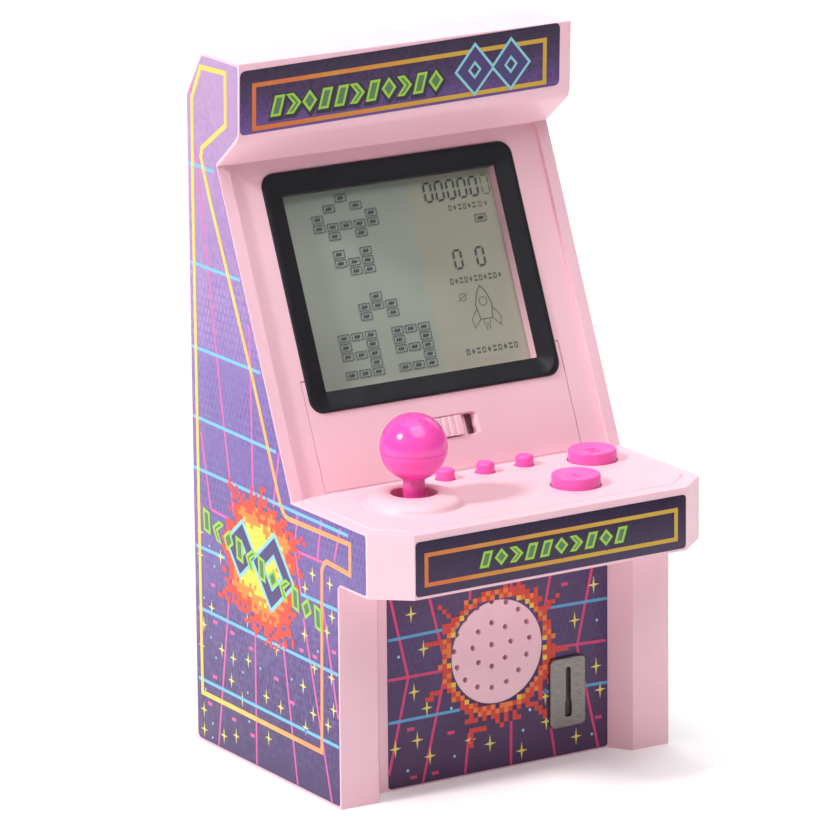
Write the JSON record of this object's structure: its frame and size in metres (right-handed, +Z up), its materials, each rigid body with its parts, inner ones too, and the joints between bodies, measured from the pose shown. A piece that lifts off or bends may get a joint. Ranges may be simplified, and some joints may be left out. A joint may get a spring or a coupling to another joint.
{
  "type": "mini arcade cabinet",
  "caption": "Palm-size tabletop arcade cabinet with sloped segment display, ball-top joystick, round push buttons, slide switch, speaker grille and rear battery bay.",
  "frame": {"origin": "middle of the base, on the surface it stands on", "axes": "+Z up, the player stands at -Y, +X to the player's right"},
  "size_m": [0.0816, 0.0763, 0.15],
  "materials": {
    "body_plastic": "satin light pink moulded ABS",
    "control_plastic": "satin hot pink moulded ABS",
    "side_print": "printed vinyl, lilac to dusky purple with a neon grid",
    "front_print": "printed vinyl, dark purple with orange frame",
    "lower_print": "printed vinyl, dark purple with a neon grid and pixel burst",
    "brushed_plate": "brushed, slightly domed edge",
    "clear_window": "clear acrylic",
    "black_mask": "black ink printed behind the window",
    "display_glass": "reflective grey-green liquid-crystal cell",
    "white_plastic": "moulded",
    "contact_rubber": "silicone",
    "circuit_board": "solder mask",
    "black_plastic": "moulded",
    "plated_steel": "nickel plated",
    "cell_wrap": "plain printed sleeve",
    "wire_jacket": "PVC"
  },
  "bodies": {
    "cabinet": {"cabinet_shell": "body_plastic", "screen_panel": "body_plastic", "rear_cover": "body_plastic", "rear_cover_screws": "plated_steel", "battery_cells": "cell_wrap", "battery_springs": "plated_steel", "battery_plates": "plated_steel", "left_side_label": "side_print", "right_side_label": "side_print", "marquee_label": "front_print", "control_label": "front_print", "lower_label": "lower_print", "coin_plate": "brushed_plate", "screen_lens": "clear_window", "screen_mask": "black_mask", "lcd_glass": "display_glass", "lcd_frame": "white_plastic", "lcd_connector": "contact_rubber", "main_board": "circuit_board", "main_board_screws": "plated_steel", "controller_chip": "black_plastic", "key_board": "circuit_board", "key_board_screws": "plated_steel", "ribbon_cable": "white_plastic", "dome_small_left": "contact_rubber", "dome_small_middle": "contact_rubber", "dome_small_right": "contact_rubber", "dome_1": "contact_rubber", "dome_2": "contact_rubber", "joystick_housing": "white_plastic", "joystick_housing_screws": "plated_steel", "joystick_domes": "contact_rubber", "power_switch_body": "plated_steel", "speaker_basket": "black_plastic", "speaker_cone": "black_plastic", "speaker_magnet": "plated_steel", "battery_wires": "wire_jacket", "speaker_wires": "wire_jacket"},
    "gimbal": {"gimbal_ring": "white_plastic"},
    "stick": {"joystick_ball": "control_plastic", "joystick_shaft": "control_plastic", "joystick_cross_pin": "plated_steel", "joystick_actuator": "white_plastic"},
    "cap_small_left": {"button_small_left": "control_plastic"},
    "cap_small_middle": {"button_small_middle": "control_plastic"},
    "cap_small_right": {"button_small_right": "control_plastic"},
    "cap_1": {"button_1": "control_plastic"},
    "cap_2": {"button_2": "control_plastic"},
    "switch_slider": {"power_switch_knob": "body_plastic"},
    "bay_door": {"battery_door": "body_plastic", "battery_door_screw": "plated_steel"}
  },
  "joints": [
    {"name": "joystick_tilt_x", "type": "hinge", "parent": "cabinet", "child": "gimbal", "pos_m": [-0.0206, -0.0177, 0.057], "axis": [1, 0, 0], "range_deg": [-12, 12], "stiffness_Nm_per_rad": 0.02},
    {"name": "joystick_tilt_y", "type": "hinge", "parent": "gimbal", "child": "stick", "pos_m": [-0.0206, -0.0177, 0.057], "axis": [0, 1, 0], "range_deg": [-12, 12], "stiffness_Nm_per_rad": 0.02},
    {"name": "press_small_left", "type": "slide", "parent": "cabinet", "child": "cap_small_left", "axis": [0, 0, -1], "range_m": [0, 0.0008], "stiffness_N_per_m": 600, "deforming": ["dome_small_left"]},
    {"name": "press_small_middle", "type": "slide", "parent": "cabinet", "child": "cap_small_middle", "axis": [0, 0, -1], "range_m": [0, 0.0008], "stiffness_N_per_m": 600, "deforming": ["dome_small_middle"]},
    {"name": "press_small_right", "type": "slide", "parent": "cabinet", "child": "cap_small_right", "axis": [0, 0, -1], "range_m": [0, 0.0008], "stiffness_N_per_m": 600, "deforming": ["dome_small_right"]},
    {"name": "press_button_1", "type": "slide", "parent": "cabinet", "child": "cap_1", "axis": [0, 0, -1], "range_m": [0, 0.001], "stiffness_N_per_m": 700, "deforming": ["dome_1"]},
    {"name": "press_button_2", "type": "slide", "parent": "cabinet", "child": "cap_2", "axis": [0, 0, -1], "range_m": [0, 0.001], "stiffness_N_per_m": 700, "deforming": ["dome_2"]},
    {"name": "power_switch_slide", "type": "slide", "parent": "cabinet", "child": "switch_slider", "axis": [1, 0, 0], "range_m": [0, 0.0029]},
    {"name": "battery_door_hinge", "type": "hinge", "parent": "cabinet", "child": "bay_door", "pos_m": [0, 0.0378, 0.01825], "axis": [-1, 0, 0], "range_deg": [0, 60]}
  ]
}
